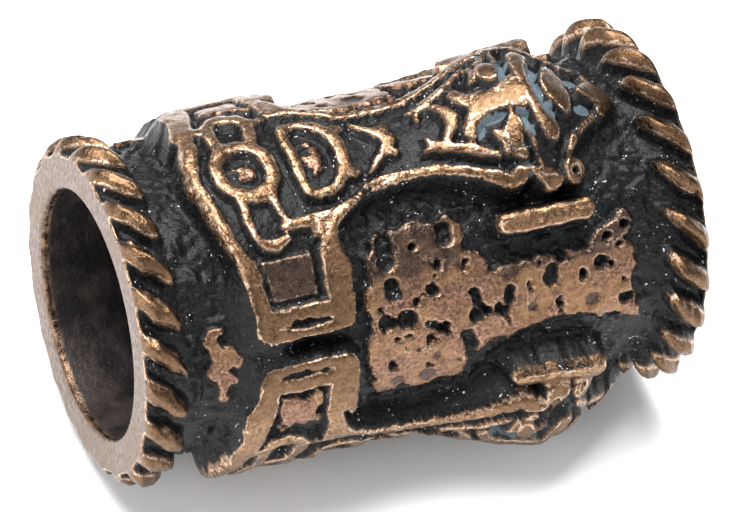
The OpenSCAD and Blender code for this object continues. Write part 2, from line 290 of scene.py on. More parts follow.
# Bands on the side of each hammer where the slot beside the ring is open, and runs out in a curl
OPEN_BANDS = [
    (0.95, [(-5.5, 9.5, .18), (-5.46, 13, .17), (-5.5, 18, .17), (-5.42, 23, .18), (-5.2, 26.1, .22),
            (-4.8, 26.7, .24), (-4.4, 25.2, .16)]),
    (0.95, [(-4.45, 9.0, .18), (-4.48, 13, .15), (-4.38, 18, .16), (-4.3, 20.5, .17)]),
    (0.95, [(-4.45, 21.6, .15), (-3.9, 21.6, .2), (-3.5, 22.2, .18), (-3.46, 25.5, .12), (-3.6, 27.0, .1)]),
    (0.95, [(-5.2, 10.4, .2), (-4.7, 10.8, .22)]),
    (0.95, [(-2.3, 20.6, .12), (-2.85, 23.5, .2), (-3.1, 28, .2), (-3.15, 31, .2)]),
]
# Bands on the other side, where the slot is closed by a thick second ring
CLOSED_BANDS = [
    (0.97, [(-5.5, 9, .24), (-5.48, 13, .24), (-5.5, 18, .24), (-5.46, 21, .25), (-5.2, 24.6, .27),
            (-4.8, 25.6, .28), (-4.4, 23.8, .28), (-4.18, 20, .28), (-4.24, 16, .26), (-4.32, 12, .23),
            (-4.46, 9, .22)]),
    (0.97, [(-5.6, 20.5, .2), (-6.0, 21, .25)]),
    (1.0, [(-6.72, 0, .14), (-6.5, 7, .24), (-6.3, 12, .3), (-6.25, 18, .3), (-6.1, 24, .34),
           (-5.95, 30, .38), (-5.82, 36, .4), (-5.72, 44, .42)]),
    (0.97, [(-3.3, 34, .3), (-3.3, 28, .3), (-3.25, 23, .38), (-2.7, 21.5, .25)]),
]
# Wider flank of the arm on that side, and a slit in its inner corner: [x, a, half width]
CLOSED_FLANK = [(-6.4, 20, .22), (-6.15, 30, .26), (-6.05, 40, .26), (-5.75, 46, .2)]
CLOSED_SLIT = [(-3.0, 34, .05), (-2.85, 31, .09), (-2.62, 26, .08), (-2.35, 22, .05)]
# Ovals are x, a, radius along x and radius across in degrees. Those drawn as rings: [oval, half width, share]
RINGS = [
    ((-5.0, 0.8, 0.84, 8.7), 0.26, 1.0),
    ((5.16, 24.2, 0.26, 2.4), 0.18, 0.95),
]
# Solid ovals: [oval, share]
PLATES = [
    ((-5.0, 1.0, 0.2, 1.9), 0.5),
    ((3.26, 22.6, 0.34, 3.0), 1.0),
]
# Speckled bosses inside the loop and the ring
BOSSES = [(-2.72, 0, 0.3, 6.6), (-4.96, 1.6, 0.26, 2.6)]
# Places on the head where a painted blue-grey reflection lies in the channels
SHEEN_SPOTS = [
    (2.5, 6.4, 0.2, 2.4), (2.9, 4.9, 0.5, 1.0), (3.82, 8.0, 0.2, 3.4), (4.0, 11.2, 0.16, 1.8),
    (4.6, 0.5, 0.16, 4.6), (4.76, 7.4, 0.26, 3.4), (6.12, 5.4, 0.28, 1.8), (3.68, 20.8, 0.17, 2.4),
    (3.5, 15.0, 0.22, 0.5),
]
# Fine line before the arm's end: middle, length and width, mm, and its angle
LINE_X = -4.35
LINE_LONG = 1.7
LINE_WIDE = 0.17
LINE_A = 52.6

# Height of a hammer's top along the bead, mm
TOP_X = [-6.9, -6.4, -5, -3.4, -2.6, 2.5, 5, 7.5]
TOP = [.9, 1.0, 1.02, 1.04, 1.04, .86, .8, .5]
# Dome over the head: height, mm, its course along the bead as a share of that, and its half width, degrees
CROWN_H = 1.4
CROWN_X = [-1, 0, 1, 2, 3, 4, 4.6, 5.4, 6.2, 6.6, 7.0, 7.5]
CROWN = [0, .08, .25, .53, .79, 1, 1, .79, .62, .49, .28, .08]
SPAN_X = [-1, 1.5, 3.5, 5, 7.5]
SPAN = [22, 24, 38, 38, 14]
# How much lower the arms' ends are, and the extra width of the flank outside them, mm
ARM_FALL = 0.17
ARM_FLANK = 0.8
# Bands on the top, mm: depth of the ground between them, and how much more on the head; height and width of
# their rounded edges, and how far the middle of a rounded band is set down so that the mean stays
CUT = 0.32
HEAD_CUT = 0.04
ROUND_H = 0.09
ROUND_W = 0.24
ROUND_DOWN = 0.04
# Share of the height of the speckled bosses, and of the pocket's floor on the closed and the open side
BOSS_SHARE = 0.5
FLOOR_SHARE = (0.75, 0.42)
# Where the worn metal ends down the flanks, mm outside the outline
FOOT_X = [-5.8, -5.4, -3.0, -2.4]
FOOT = [-0.03, 0.04, 0.04, -0.09]

# Straight bar beside the head: its ends along x and half width, mm, and on the closed and the open side its
# angle from the hammer's middle line and how far it is moved along x
BAR_X = (2.87, 5.43)
BAR_HALF = 0.4
BAR_A = (30.9, 35.3)
BAR_MOVE = (0.16, -0.16)
# Places across the bar, mm: groove on the closed side, crease on the other, and the lumpy ridge
GROOVE_AT = 0.28
CREASE_AT = -0.04
RIDGE_AT = -0.2

# Half outline of a panel: [x, angle from the middle line between two hammers]
PANEL = [
    (-2.12, 0), (-2.1, 8), (-1.95, 14), (-1.75, 29.5), (-0.6, 31), (0.9, 31), (1.32, 29), (1.36, 18.5),
    (1.8, 17), (2.6, 14), (3.6, 11.8), (4.6, 11.3), (5.4, 11.6), (6.0, 13.6), (6.6, 14.6), (7.0, 14.2),
    (7.1, 6), (7.05, 0),
]
PANEL_H = 0.31
# How far the panel's narrow end is turned towards the second hammer, degrees
PANEL_LEAN_X = [1.4, 2.6, 3.4, 4.8, 5.6, 6.2, 7.0]
PANEL_LEAN = [-0.5, 3.0, 0.6, -0.6, 1.0, 2.0, 4.4]
# Ragged corner of the panel beside the first bar: [x, angle from the middle line, half width]
CORNER = [(5.6, -9.2, .25), (6.1, -12.4, .38), (6.6, -15.2, .42), (6.9, -17.8, .34)]
# Casting pits in the panel: [x, angle from the middle line, radius]
PITS = [
    (-1.22, -28, 0.26), (-1.24, -24.5, 0.3), (-1.26, -20.5, 0.29), (-1.2, -12.2, 0.26), (-1.12, -9, 0.28),
    (0.12, -8, 0.2), (0.2, -6.6, 0.18), (0.8, -28, 0.27), (0.78, -24.8, 0.28), (2.2, -14.5, 0.16),
    (2.28, -11.8, 0.22), (-1.5, 0, 0.24), (-1.22, 0.6, 0.14), (-0.85, 0, 0.24), (-0.64, 0.3, 0.24),
    (-0.06, 2.1, 0.1), (0.08, 3.3, 0.12), (0.27, 4.6, 0.13), (0.48, 5.1, 0.2), (-1.14, 5.4, 0.1),
    (-0.4, 11.9, 0.05), (-0.16, 12.6, 0.05), (0.04, 13.5, 0.06), (-1.3, 15.6, 0.13), (-1.2, 17.6, 0.17),
    (1.5, -3.6, 0.17), (1.6, -1.1, 0.17), (1.7, 1.0, 0.14), (1.58, 3.5, 0.27), (1.95, 2.6, 0.17),
    (2.3, 2.5, 0.17), (2.72, -1.7, 0.19), (2.68, 0.2, 0.2), (2.52, 3.6, 0.2), (2.6, 6.6, 0.1),
    (2.64, 8.6, 0.06), (1.22, 9.9, 0.22), (1.34, 12.6, 0.23), (1.46, 15.6, 0.22), (3.35, -2.4, 0.07),
    (3.4, -0.8, 0.08), (4.12, -3.2, 0.26), (4.2, -5.6, 0.22), (4.55, -9.4, 0.22), (4.4, -12, 0.16),
    (4.8, -8, 0.1), (5.2, -1.8, 0.15), (5.86, -4.4, 0.24), (6.2, -3, 0.12), (6.7, 9.1, 0.26),
    (4.34, 3.8, 0.09), (4.37, 6, 0.13), (4.4, 8.6, 0.12), (6.6, 1.6, 0.07), (1.32, -15, 0.09),
    (-0.3, -24, 0.14), (6.12, -13.4, 0.17), (6.78, -16.2, 0.16), (6.5, -9.6, 0.13),
]
# Shallow dull hollows in the panel: [x, angle from the middle line, radius]
DULL = [
    (0.33, -17.8, 0.26), (0.26, 16.4, 0.17), (-0.98, 24.8, 0.2), (0.02, 25.2, 0.34), (3.46, 4.4, 0.17),
    (5.5, 6.6, 0.24), (2.74, -7.4, 0.2), (1.2, -14.5, 0.16),
]
# Low patch by the near rim, as bands: [x, angle from the middle line, half width], and how far it is moved
PATCH = [
    [(-7.12, -10.8, 0.04), (-7.38, -10.4, 0.09), (-7.46, -7.6, 0.12), (-7.3, -4.6, 0.14),
     (-7.24, -2.2, 0.12)],
    [(-7.2, -1.8, 0.12), (-6.92, -1.6, 0.2), (-6.7, -0.8, 0.1)],
    [(-7.16, -1.0, 0.1), (-7.34, 0.2, 0.12), (-7.42, 2.0, 0.14)],
    [(-7.3, 2.6, 0.06), (-7.0, 4.4, 0.15), (-6.8, 5.6, 0.08)],
    [(-7.1, 4.9, 0.1), (-7.05, 8.4, 0.06), (-7.08, 12.9, 0.09)],
]
PATCH_X = 0.2
PATCH_A = 1.8
PATCH_H = 0.28


def ring(x, r, ang):
    """Points at x, at radius r and at these angles round the bore"""
    a = np.radians(ang)
    return np.stack([x + 0 * r, -r * np.sin(a), r * np.cos(a)], -1)


def even_angle(t):
    """Angle on an evenly spaced bead for a real angle from the first hammer. Only the narrow gaps between
    the arms are stretched or squeezed."""
    ends = [(HAMMER_STEP * k + side * ARM_END, SHIFT[k % 3]) for k in range(-1, 4) for side in (-1, 1)]
    turns = np.floor(t / 360.0)
    return 360 * turns + np.interp(t - 360 * turns, [a + d for a, d in ends], [a for a, d in ends])


class Grid:
    """Where the grid points lie on the barrel: X mm along it, phi degrees round it"""

    def __init__(self, X, phi):
        even = phi - HAMMER_TURN
        # the rims are even, so the hammers' shift fades out before them
        even = even + (even_angle(even) - even) * smooth((BARREL - np.abs(X)) / 0.5)
        self.X = X
        self.rel = (even + HAMMER_STEP / 2) % HAMMER_STEP - HAMMER_STEP / 2
        self.A = np.abs(self.rel)
        self.S = self.A * DEG_MM
        self.G = self.rel - np.where(self.rel > 0, 1, -1) * HAMMER_STEP / 2
        # the side of each hammer where the slot beside its ring is closed
        self.closed = self.rel < 0
        # real places, so that the roughness differs from hammer to hammer
        self.P = ring(X, SKIN_R + 0 * X, phi)
        # what makes the borders uneven, mm
        self.wob = self.lumps(BORDER_LUMPS)

    def lumps(self, layers):
        return lumps(self.P, layers)

    def side(self, closed, opened):
        """One value on the closed side of each hammer, another on the open side"""
        return np.where(self.closed, closed, opened)


def hammer_border(g):
    """Distance outside the top of the hammer's flanks, which follow the outline with a small margin"""
    d = outline_dist(g.X, g.S, OUTLINE)
    return g.side(np.minimum(d, band_dist(g.X, g.S, CLOSED_FLANK)), d) - 0.1 + 0.8 * g.wob


def hammer_bands(g):
    """Bands, rings and plates on a hammer's top: pairs of share of the height and distance outside"""
    X, S = g.X, g.S
    rim = path_dist(X, S, to_mm(OUTLINE)[:RIM_LAST]) - np.interp(X, RIM_X, RIM_HALF)
    rough = 0.8 * g.wob
    shapes = [(1.0, rim + g.wob - g.side(CLOSED_RIM, 0))]
    shapes += [(share, band_dist(X, S, points) + rough) for share, points in BANDS]
    shapes += [(share, np.abs(oval_dist(X, S, *oval)) - half + rough) for oval, half, share in RINGS]
    shapes += [(share, oval_dist(X, S, *oval) + 1.5 * rough) for oval, share in PLATES]
    shapes += [(share, g.side(AWAY, band_dist(X, S, points)) + rough) for share, points in OPEN_BANDS]
    shapes += [(share, g.side(band_dist(X, S, points), AWAY) + rough) for share, points in CLOSED_BANDS]
    return shapes


def boss_dist(g):
    """Distance outside the specks of the bosses"""
    d = np.minimum.reduce([oval_dist(g.X, g.S, *oval) for oval in BOSSES])
    return d + 0.05 + g.lumps(BOSS_LUMPS)


def arm_dist(g):
    """Distances outside the arm's frame, which has three sides, and outside the floor of its sunk pocket.
    On the closed side the floor is rough and nearly as high as the frame."""
    X, A = g.X, g.A
    left = g.side(-5.2 - 0.021 * (46 - A), -5.56 + 0.014 * (A - 31))
    right = g.side(-3.66 + 0.037 * np.clip(35 - A, 0, 9), -3.56)
    start = g.side(30.2, 29.0)
    arm = np.where(X < 0, (start - A) * DEG_MM, AWAY) + g.wob
    sunk = np.maximum.reduce([left - X, X - right, (A - 46.0) * DEG_MM]) + g.wob
    floor_x = np.maximum(left + g.side(0.2, 0.1) - X, X - right + g.side(0.12, 0.16))
    floor_a = np.maximum(start + 1.5 - A, A - g.side(43.6, 44.6)) * DEG_MM
    floor = np.maximum(floor_x, floor_a) + g.side(3.4, 1.0) * g.wob
    return np.maximum(arm, -sunk), np.where(X < 0, floor, AWAY)


def line_dist(g):
    """Distance outside the fine line before the arm's end, which tapers to both ends"""
    along = g.X - LINE_X
    half = LINE_WIDE / 2 * clamp(1 - (along / 0.9) ** 2) + 1.3 * g.wob
    return np.maximum(np.abs(g.A - LINE_A) * DEG_MM - half, np.abs(along) - LINE_LONG / 2)


def grip_groove(g):
    """Fine groove between the two ridges of the rim along the grip, from 0 to 1"""
    along = path_dist(g.X, g.S, to_mm(OUTLINE)[GRIP_FIRST:RIM_LAST])
    groove = rise(np.abs(along - 0.15 + 0.5 * g.wob) - 0.02, 0.08)
    return groove * smooth((g.X + 1.6) / 0.5) * smooth((3.2 - g.X) / 0.4)


def metal_on_flanks(g, d_out):
    """Distance outside the worn metal at the hammer's border. It runs down the flanks of the arms, and stops
    near the top along the grip and the head."""
    foot = np.interp(g.X, FOOT_X, FOOT)
    foot = foot - 0.05 * smooth((-g.rel - 15) / 10) * (g.X < -5) - 0.14 * smooth((g.A - 54) / 2.5)
    foot = np.maximum(foot + g.lumps(FOOT_LUMPS), -0.12)
    top = 0.14
    down = np.clip((d_out - 0.6 * g.wob + top) / (foot + top), 0, 1.4)
    return np.where(d_out < -top, d_out + 0.08, -0.11 + 0.11 * down ** 3)


def hammer(g):
    """Hammer with its arms, grip and domed head: a raised body with the bands standing up from it"""
    X, A = g.X, g.A
    d_out = hammer_border(g)
    boss = boss_dist(g)
    frame_d, pocket = arm_dist(g)
    line = line_dist(g)
    slit = g.side(band_dist(X, g.S, CLOSED_SLIT), AWAY)

    shapes = hammer_bands(g)
    shapes += [(BOSS_SHARE, boss), (1 - 0.5 * rise(line, 0.1), frame_d), (g.side(*FLOOR_SHARE), pocket)]
    mark = np.maximum.reduce([share * rise(d, WALL) for share, d in shapes])
    mark = mark * (1 - 0.7 * rise(slit, WALL)) * (1 - 0.4 * rise(line, 0.1))
    marks = np.minimum.reduce([d for share, d in shapes])
    marks = np.maximum.reduce([marks, -slit, -1.6 * line])

    # the body: its top falls towards the arms' ends and has a dome over the head
    fall = smooth((A - 22) / 28)
    crown = np.interp(X, CROWN_X, CROWN) * np.cos(np.radians(90 * clamp(A / np.interp(X, SPAN_X, SPAN))))
    top = np.interp(X, TOP_X, TOP) + CROWN_H * crown - ARM_FALL * fall * clamp((-2 - X) / 0.4)
    flank = SLOPE + ARM_FLANK * fall * smooth((-4.6 - X) / 0.6)
    # depth of the ground between the bands, which are rounded and worn
    cut = CUT + HEAD_CUT * smooth((X - 2.2) / 1.0)
    worn = g.lumps(WEAR_LUMPS) - 0.05 * clamp(1 + d_out / 0.3) ** 2
    round_top = ROUND_H * np.sqrt(clamp(-np.maximum(d_out, marks) / ROUND_W)) - ROUND_DOWN
    height = top - cut * (1 - mark) + worn + (round_top - 0.07 * grip_groove(g)) * mark
    height = rise(d_out + (SLOPE - flank) / 2, flank) * height

    # the head and the arms' ends are browner
    brown = np.maximum(smooth((X - 1.8) / 1.2) * (d_out < 0.1), 0.9 * fall * (X < -2) * (d_out < 0.3))
    return SimpleNamespace(height=height, wall=np.maximum(d_out + 0.5 * (SLOPE - WALL), marks), worn=worn,
                           edge=np.maximum(metal_on_flanks(g, d_out), marks + 0.04),
                           d_out=d_out, boss=boss, pocket=pocket, brown=brown)


def bar(g, worn):
    """Straight bar beside the head, with a groove on the closed side and a shallow crease on the other"""
    across = (g.A - g.side(*BAR_A)) * DEG_MM
    x = g.X - g.side(*BAR_MOVE)
    d = seg_dist(x, across, (BAR_X[0], 0), (BAR_X[1], 0), BAR_HALF, BAR_HALF) + 0.8 * g.wob
    groove = g.side(np.abs(across - GROOVE_AT + 0.5 * g.wob), AWAY)
    crease = g.side(AWAY, np.abs(across - CREASE_AT + g.wob))
    top = 1.09 + 0.21 * clamp((g.X - 2.9) / 2.5) + 0.1 * np.sqrt(clamp(-d / BAR_HALF))
    ridge = g.lumps(BAR_LUMPS) + g.lumps(RIDGE_LUMPS) * smooth((0.05 - np.abs(across - RIDGE_AT)) / 0.1)
    height = rise(d, SLOPE) * (top + ridge + worn)
    height = height - 0.08 * rise(groove - 0.02, 0.1) - 0.05 * rise(crease - 0.02, 0.1)
    edge = np.maximum(d + 0.05, 0.03 - groove)
    return SimpleNamespace(height=height, wall=d + 0.5 * (SLOPE - WALL), edge=edge)


def panel(g):
    """Low ragged panel between two hammers, with casting pits, pores and dull hollows"""
    across = np.abs(g.G - np.interp(g.X, PANEL_LEAN_X, PANEL_LEAN)) * DEG_MM
    border = np.minimum(outline_dist(g.X, across, PANEL), band_dist(g.X, g.G * DEG_MM, CORNER))
    border = border + 0.02 + g.lumps(PANEL_BORDER_LUMPS)
    pits = spots_dist(g.X, g.G, PITS) + 0.02 + g.lumps(PIT_LUMPS)
    pores = 0.37 - g.lumps(PORE_LUMPS)
    dull = spots_dist(g.X, g.G, DULL) + g.wob
    d = np.maximum(border, -np.minimum(pits, pores))
    top = PANEL_H + 0.035 * np.sqrt(clamp(-d / 0.2)) - 0.07 * rise(dull, 0.12)
    height = top * rise(d, WALL) + g.lumps(FLAT_LUMPS) * rise(d, 0.3)
    return SimpleNamespace(height=height, wall=d, edge=d + 0.02, dull=dull)


def patch(g):
    """Low ragged patch between the near rim and the arms"""
    S = (g.G - PATCH_A) * DEG_MM
    d = np.minimum.reduce([band_dist(g.X - PATCH_X, S, points) for points in PATCH])
    d = d - 0.1 + g.lumps(PATCH_BORDER_LUMPS)
    height = PATCH_H * rise(d, WALL) + 0.5 * g.lumps(FLAT_LUMPS) * rise(d, 0.3)
    return SimpleNamespace(height=height, wall=d, edge=d + 0.02)


def cast_ground(g, h):
    """Adds the cast grain of the dark ground and its small lumps where the relief is low"""
    grain = g.lumps(GROUND_LUMPS)
    lump = 0.3 * clamp(noise(g.P, 0.32, 53) - 0.34) + 0.22 * clamp(noise(g.P, 0.2, 54) - 0.42)
    return h + (1 - clamp(h / 0.25)) * (grain + lump)


def tone_of(g, ham, flat, dull):
    """Tone of the worn metal: 0 gold, below 0 browner, 1 pinkish, 2 dull brown"""
    # the flat shapes are darker along their upper border and at the corners
    dim = smooth((-g.G - 9) / 9) * smooth((1.8 - g.X) / 1.2)
    dim = dim + smooth((-g.G - 5) / 5) * smooth((g.X - 1.5) / 1.0)
    tone = np.where(flat, 1.0 + 0.75 * clamp(dim + g.lumps(TONE_LUMPS)), -ham.brown)
    tone = np.where(ham.pocket < 0, g.side(1.2, 2.0), tone)
    tone = np.where((ham.boss < 0.02) & (ham.d_out < 0), 1.0, tone)
    return np.where(flat & (dull < 0) & (g.X > -3), 2.0, tone)


def relief(X, phi):
    """Relief of the barrel. Returns the radius, the distances outside the raised shapes and outside the worn
    metal, the metal's tone, and how much painted blue-grey reflection there is."""
    g = Grid(X, phi)
    ham = hammer(g)
    rod = bar(g, ham.worn)
    pan = panel(g)
    pat = patch(g)
    shapes = (ham, rod, pan, pat)
    h = cast_ground(g, np.maximum.reduce([shape.height for shape in shapes]))
    wall = np.minimum.reduce([shape.wall for shape in shapes])
    edge = np.minimum.reduce([shape.edge for shape in shapes])
    flat = np.minimum(pan.wall, pat.wall) < np.minimum(ham.edge, rod.edge)
    # painted blue-grey reflection: how much of it lies at each point of the head's channels
    film = np.maximum.reduce([rise(oval_dist(X, g.S, *oval) + g.wob, 0.1) for oval in SHEEN_SPOTS])
    return GROUND_R + h, wall, edge, tone_of(g, ham, flat, pan.dull), film * rise(ham.d_out, 0.1)


# Strands of the rope rims, from the barrel (0) to the end face (1): half width, as a share of half a pitch,
# and height of the valley between two strands, as a share of the strands' height
STRAND_U = [0, .12, .2, .35, .55, .75, .88, 1]
STRAND_HALF = [.14, .3, .46, .56, .61, .6, .54, .44]
VALLEY_U = [0, .3, .7, .88, 1]
VALLEY = [.06, .16, .16, .24, .75]


def rope(u, ang, top, end):
    """Rope rim: u from 0 at the barrel to 1 at the end face, ang in degrees along the strands, top the height
    of the strands. Returns the radius and the distance outside the worn metal."""
    k = np.round(ang / PITCH)
    s = (ang / PITCH - k) * 2
    P = np.stack([u * 1.5 + 3 * end, k * 3.7 + s * 0.8, k * 1.1 + 5.0 * end], -1)
    s = s + lumps(P, STRAND_SIDE_LUMPS)
    hump = np.sqrt(clamp(1 - np.abs(2 * u - 1.06) ** 3))
    width = np.interp(u, STRAND_U, STRAND_HALF) + lumps(P, STRAND_WIDTH_LUMPS)
    c = clamp(np.abs(s) / (width + 0.16))
    lobe = (1 - c ** 2.2) * (0.93 + lumps(P, LOBE_LUMPS))
    valley = np.interp(u, VALLEY_U, VALLEY)
    h = (top * (valley + (1 - valley) * lobe) + lumps(P, STRAND_LUMPS)) * hump
    edge = (np.abs(s) - 0.92 * width) * 0.5 * PITCH * DEG_MM
    # the metal closes up again at the border of the end face
    edge = np.minimum(edge, (0.955 - u) * RIM_W)
    return GROUND_R + h, np.maximum(edge, (0.06 - u) * RIM_W)


def snapped(X, phi):
    """The grid points, with those near a shape's wall moved onto its upper or lower edge, so that both are
    clean lines"""
    wall = relief(X, phi)[1]
    cell_x = X[1, 0] - X[0, 0]
    cell_s = (phi[0, 1] - phi[0, 0]) * DEG_MM
    slope_x = np.gradient(wall, cell_x, axis=0)
    slope_s = (np.roll(wall, -1, 1) - np.roll(wall, 1, 1)) / (2 * cell_s)
    steep = np.maximum(slope_x * slope_x + slope_s * slope_s, 0.3)
    move = np.where(wall < 0, -0.5 * WALL, 0.5 * WALL) - wall
    move = np.where(np.abs(wall) < WALL, move, 0) / steep
    # no point moves by more than this share of a cell, and the first and last rows stay
    most = 0.48
    far = np.maximum(np.abs(move * slope_x) / cell_x, np.abs(move * slope_s) / cell_s) / most
    move = move / np.maximum(far, 1)
    move[[0, -1]] = 0
    return X + move * slope_x, phi + move * slope_s / DEG_MM


def barrel_rows(col):
    """Rows of the barrel. A row is its points, and their edge, tone, painted sheen and zone."""
    x = np.linspace(-BARREL, BARREL, BARREL_ROWS + 2)[1:-1]
    X, phi = snapped(*np.meshgrid(x, col, indexing="ij"))
    r, _, edge, tone, film = relief(X, phi)
    return [(ring(X[i], r[i], phi[i]), edge[i], tone[i], film[i], ZONE_OUTSIDE) for i in range(BARREL_ROWS)]


def end_rows(col, top, phase, end):
    """Rows of one end from the barrel inwards: rope rim, end face and the rounded mouth of the bore"""
    rows = []
    for u in 1 - (1 - np.linspace(0, 1, RIM_ROWS)) ** 1.15:
        r, edge = rope(np.full(COLS, u), col - HAMMER_TURN - phase + end * LEAN / 2, top, end)
        points = ring(end * (BARREL + RIM_W * u), r, col + end * LEAN * u)
        rows.append((points, edge, ROPE_TONE, 0, ZONE_OUTSIDE))
    mouth = BORE_R + BEVEL
    turned = col + end * LEAN
    for k in (0.05, 0.3, 0.65, 1.0):
        points = ring(end * HALF, r + (mouth - r) * k, turned)
        rows.append((points, edge, ROPE_TONE, 0, ZONE_FACE))
    for k in (0.35, 0.7, 1.0):
        a = k * math.pi / 2
        r = np.full(COLS, mouth - BEVEL * math.sin(a))
        points = ring(end * (HALF - BEVEL + BEVEL * math.cos(a)), r, turned)
        rows.append((points, 0, ROPE_TONE, 0, ZONE_FACE + (ZONE_MOUTH - ZONE_FACE) * k))
    return rows


def bore_rows(col):
    """Rows of the bore, from the far end to the near one"""
    r = np.full(COLS, BORE_R)
    return [(ring(x, r, col + LEAN * x / HALF), 0, 0, 0, ZONE_BORE)
            for x in (8.9, 8.0, 5.0, 1.5, -2.0, -5.5, -7.6, -8.5, -9.0)]


def casting():
    """Rows of points round the bead in a closed loop: barrel, far end, bore, near end. Returns the points and
    the values of edge, tone, painted sheen and zone at them."""
    col = HAMMER_TURN + np.arange(COLS) * 360.0 / COLS
    rows = barrel_rows(col) + end_rows(col, *FAR) + bore_rows(col) + end_rows(col, *NEAR)[::-1]
    values = [[np.broadcast_to(v, (COLS,)).astype(float) for v in row[1:]] for row in rows]
    return np.array([row[0] for row in rows]), np.array(values).transpose(1, 0, 2)


def loop_quads(n_rows):
    """Faces between each row and the next, where the last row joins the first"""
    i = np.arange(n_rows)[:, None] * COLS
    j = np.arange(COLS)[None, :]
    up_i = (i + COLS) % (n_rows * COLS)
    right_j = (j + 1) % COLS
    return np.stack([i + j, i + right_j, up_i + right_j, up_i + j], -1).reshape(-1, 4)


def add_object(name, data):
    ob = bpy.data.objects.new(name, data)
    bpy.context.scene.collection.objects.link(ob)
    return ob


def add_mesh(name, points, faces):
    mesh = bpy.data.meshes.new(name)
    mesh.from_pydata(points, [], faces)
    mesh.update()
    return add_object(name, mesh)


class Graph:
    """A material and short names for its nodes"""

    def __init__(self, name):
        self.mat = bpy.data.materials.new(name)
        self.mat.use_nodes = True
        self.tree = self.mat.node_tree
        self.tree.nodes.clear()

    def node(self, kind, **props):
        n = self.tree.nodes.new(kind)
        for key, value in props.items():
            setattr(n, key, value)
        return n

    def put(self, socket, v):
        """Sets a socket to a value or a colour, or links another socket to it"""
        if isinstance(v, bpy.types.NodeSocket):
            self.tree.links.new(v, socket)
        elif isinstance(v, tuple):
            socket.default_value = (*v, 1.0)
        else:
            socket.default_value = v

    def math(self, op, a, b):
        n = self.node("ShaderNodeMath", operation=op)
        self.put(n.inputs[0], a)
        self.put(n.inputs[1], b)
        return n.outputs[0]

    def chain(self, op, terms):
        out = terms[0]
        for term in terms[1:]:
            out = self.math(op, out, term)
        return out

    def add(self, *terms):
        return self.chain("ADD", terms)

    def mul(self, *terms):
        return self.chain("MULTIPLY", terms)

    def most(self, *terms):
        return self.chain("MAXIMUM", terms)

    def attr(self, name):
        """A value kept at the points of the mesh"""
        return self.node("ShaderNodeAttribute", attribute_type="GEOMETRY", attribute_name=name).outputs["Fac"]

    def noise(self, size_mm, detail=2.0, rough=0.5, stretch=(1.0, 1.0, 1.0), shift=0.0):
        n = self.node("ShaderNodeTexNoise")
        n.inputs["Scale"].default_value = 1.0 / (size_mm * MM)
        n.inputs["Detail"].default_value = detail
        n.inputs["Roughness"].default_value = rough
        m = self.node("ShaderNodeMapping")
        m.inputs["Scale"].default_value = stretch
        m.inputs["Location"].default_value = (shift, 0.0, 0.0)
        self.put(m.inputs["Vector"], self.node("ShaderNodeTexCoord").outputs["Object"])
        self.put(n.inputs["Vector"], m.outputs["Vector"])
        return n.outputs["Fac"]

    def span(self, v, lo, hi, a=0.0, b=1.0, kind="SMOOTHSTEP"):
        """While v goes from lo to hi the result goes from a to b, with soft ends"""
        n = self.node("ShaderNodeMapRange", interpolation_type=kind)
        self.put(n.inputs["Value"], v)
        for key, value in (("From Min", lo), ("From Max", hi), ("To Min", a), ("To Max", b)):
            n.inputs[key].default_value = value
        return n.outputs["Result"]

    def mix(self, share, a, b):
        """Colour a with this share of colour b over it"""
        n = self.node("ShaderNodeMix", data_type="RGBA")
        for k, v in ((0, share), (6, a), (7, b)):
            self.put(n.inputs[k], v)
        return n.outputs[2]

    def blend(self, share, a, b):
        """Number a with this share of number b"""
        n = self.node("ShaderNodeMix", data_type="FLOAT")
        for k, v in ((0, share), (2, a), (3, b)):
            self.put(n.inputs[k], v)
        return n.outputs[0]

    def surface(self, **sockets):
        p = self.node("ShaderNodeBsdfPrincipled")
        for key, v in sockets.items():
            self.put(p.inputs[key.replace("_", " ")], v)
        out = self.node("ShaderNodeOutputMaterial")
        self.put(out.inputs["Surface"], p.outputs["BSDF"])
        return self.mat


# Colours of the metal: from its dark to its light grains, then the blotches over them
GOLD = ((0.065, 0.035, 0.018), (0.28, 0.172, 0.098))
GOLD_SHADE = (0.08, 0.04, 0.02)
GOLD_WARM = (0.22, 0.118, 0.07)
BROWN = ((0.05, 0.028, 0.015), (0.14, 0.082, 0.045))
PINK = ((0.075, 0.04, 0.026), (0.235, 0.132, 0.09))
PINK_GOLD = (0.2, 0.115, 0.055)
PINK_SHADE = (0.05, 0.027, 0.019)
DULL_BROWN = ((0.045, 0.03, 0.024), (0.09, 0.06, 0.046))
# pale colour along the metal's edges: partly a real polished burr, partly a painted highlight
BURR_AND_HIGHLIGHT = (0.62, 0.46, 0.35)
BORDER = (0.07, 0.037, 0.019)
PATINA = ((0.004, 0.004, 0.0045), (0.013, 0.0125, 0.013))
# blue-grey colour of a painted reflection in the head's channels
PAINTED_BLUE_SHEEN = (0.095, 0.127, 0.15)
END_FACE = ((0.095, 0.07, 0.057), (0.225, 0.175, 0.15))
END_FACE_BROWN = (0.14, 0.092, 0.062)
MOUTH = ((0.04, 0.024, 0.016), (0.21, 0.13, 0.084))
BORE = ((0.015, 0.013, 0.013), (0.044, 0.035, 0.032))
# near-white colour of painted glints in the patina
PAINTED_GLINT = (0.85, 0.84, 0.85)


